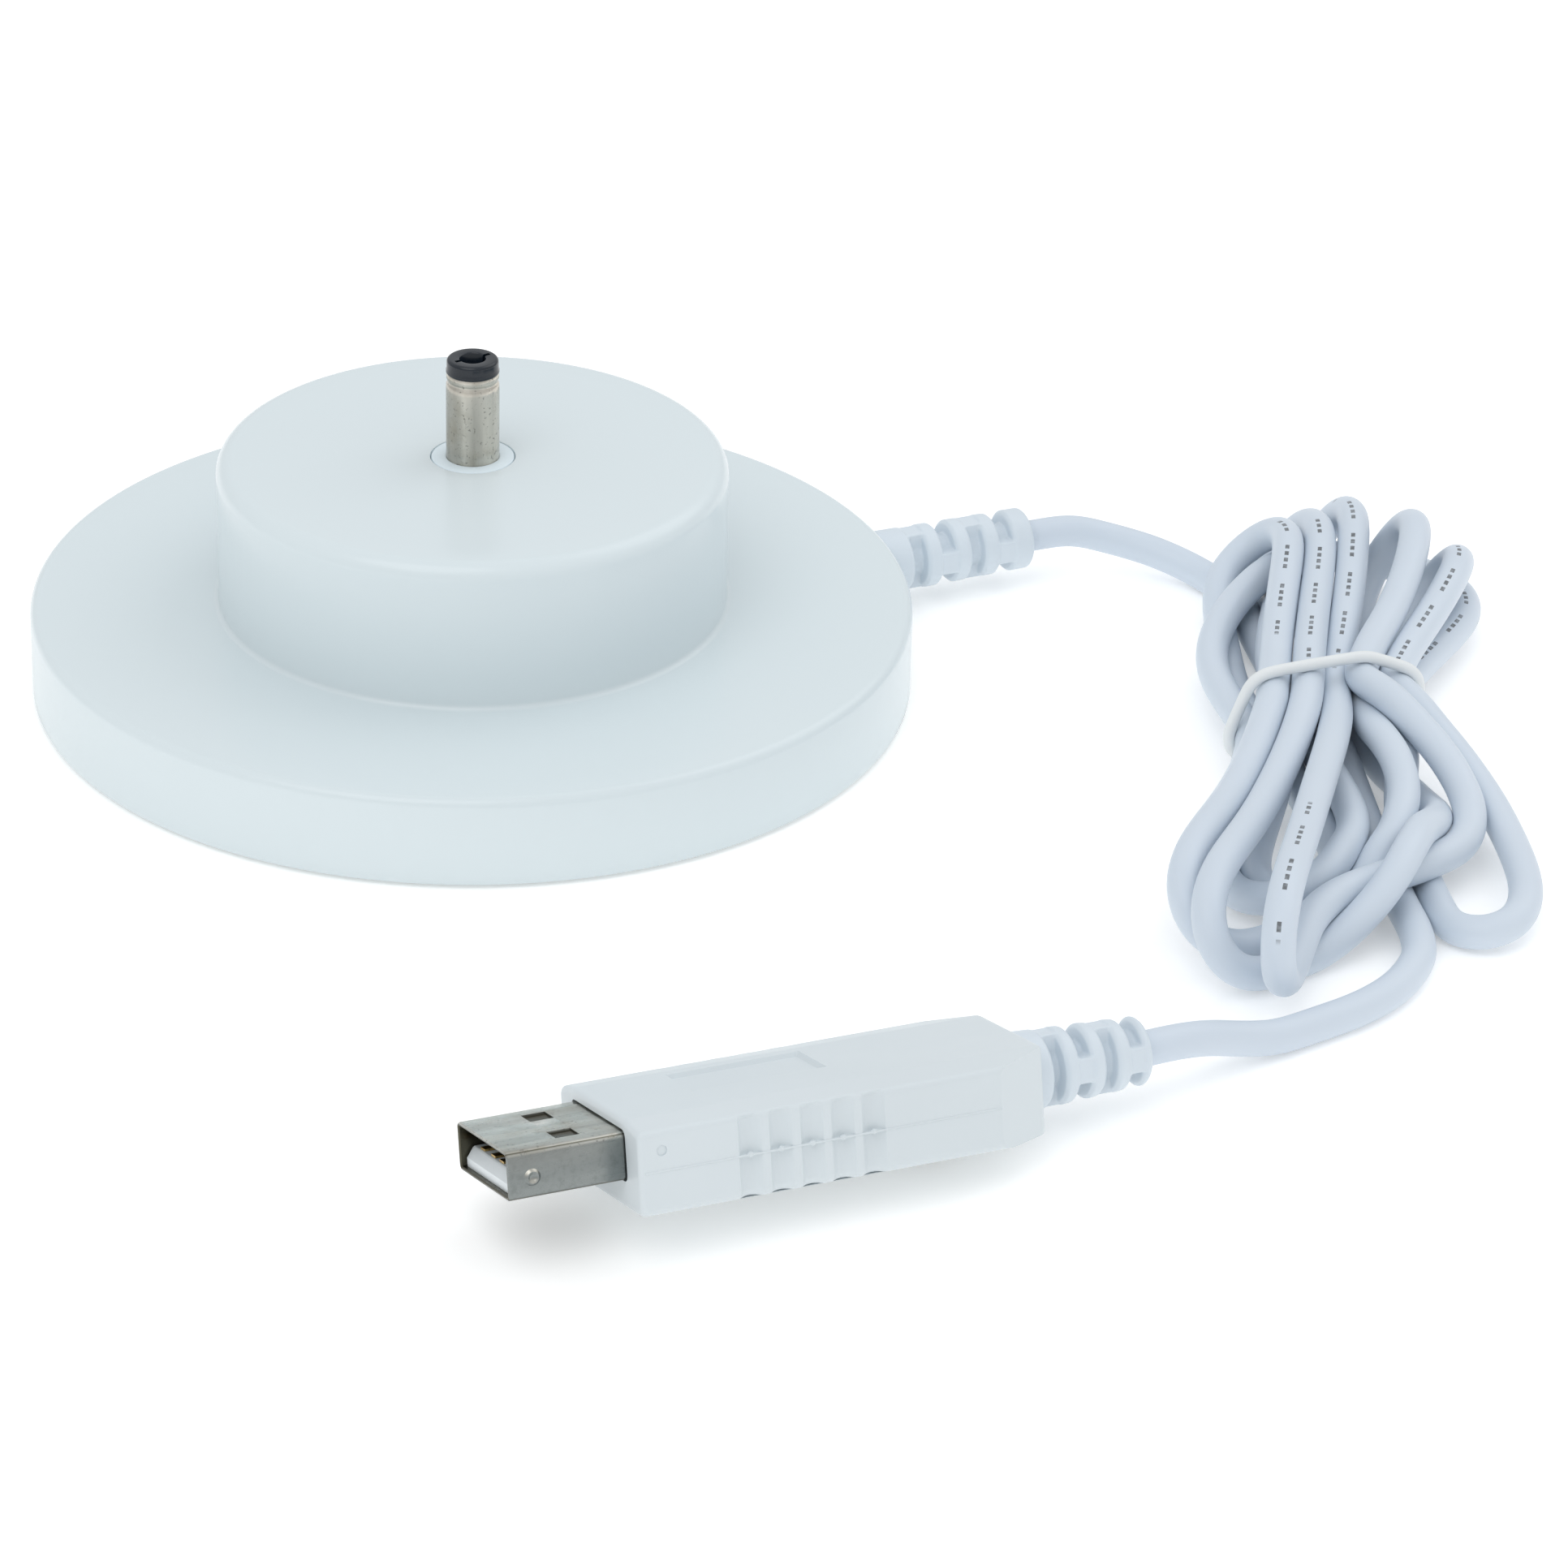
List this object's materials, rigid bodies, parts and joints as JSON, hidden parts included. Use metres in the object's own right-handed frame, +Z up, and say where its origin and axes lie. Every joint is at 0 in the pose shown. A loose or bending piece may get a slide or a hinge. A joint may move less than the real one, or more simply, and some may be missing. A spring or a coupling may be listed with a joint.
{
  "type": "toothbrush charging base",
  "caption": "Round two-tier charging base with an upright barrel plug, a strain relief, a tied hank of cord and a USB step-up plug",
  "frame": {"origin": "centre of the round base on the surface it stands on", "axes": "+Z up along the barrel plug, +X the way the cord leaves the base, +Y completes the right-handed frame"},
  "size_m": [0.1512, 0.1596, 0.0368],
  "materials": {
    "shell_plastic": "fine satin",
    "plate_plastic": "matt",
    "ballast_steel": "zinc grey",
    "pad_rubber": "soft",
    "screw_steel": "zinc",
    "collar_plastic": "satin",
    "nickel": "satin nickel",
    "black_plastic": "satin",
    "inner_plastic": "natural",
    "contact_brass": "plated",
    "relief_pvc": "satin",
    "cord_pvc": "satin",
    "tie_plastic": "satin",
    "red_pvc": "satin",
    "black_pvc": "satin",
    "housing_plastic": "fine satin",
    "tongue_plastic": "satin",
    "board_glassfibre": "solder mask",
    "ferrite": "matt",
    "capacitor_ceramic": "matt"
  },
  "bodies": {
    "root": {"upper_shell": "shell_plastic", "base_plate": "plate_plastic", "ballast_plate": "ballast_steel", "foot_pads": "pad_rubber", "cover_screws": "screw_steel", "plug_collar": "collar_plastic", "plug_sleeve": "nickel", "plug_tip": "black_plastic", "inner_insulator": "inner_plastic", "centre_contact": "contact_brass", "plug_retainer": "plate_plastic", "retainer_screws": "screw_steel", "cord_relief": "relief_pvc", "cord_clamp": "plate_plastic", "clamp_screws": "screw_steel", "inner_cord": "cord_pvc", "red_wire": "red_pvc", "black_wire": "black_pvc", "cord_lead": "cord_pvc", "cord_hank": "cord_pvc", "cord_tie": "tie_plastic", "cord_tail": "cord_pvc", "usb_shell": "nickel", "usb_insulator": "tongue_plastic", "usb_contacts": "contact_brass", "housing_top": "housing_plastic", "housing_bottom": "housing_plastic", "housing_screw": "screw_steel", "plug_relief": "relief_pvc", "plug_cord_end": "cord_pvc", "converter_board": "board_glassfibre", "inductor": "ferrite", "converter_chip": "black_plastic", "rectifier_diode": "black_plastic", "capacitors": "capacitor_ceramic", "resistors": "black_plastic", "red_output_wire": "red_pvc", "black_output_wire": "black_pvc"}
  },
  "joints": []
}
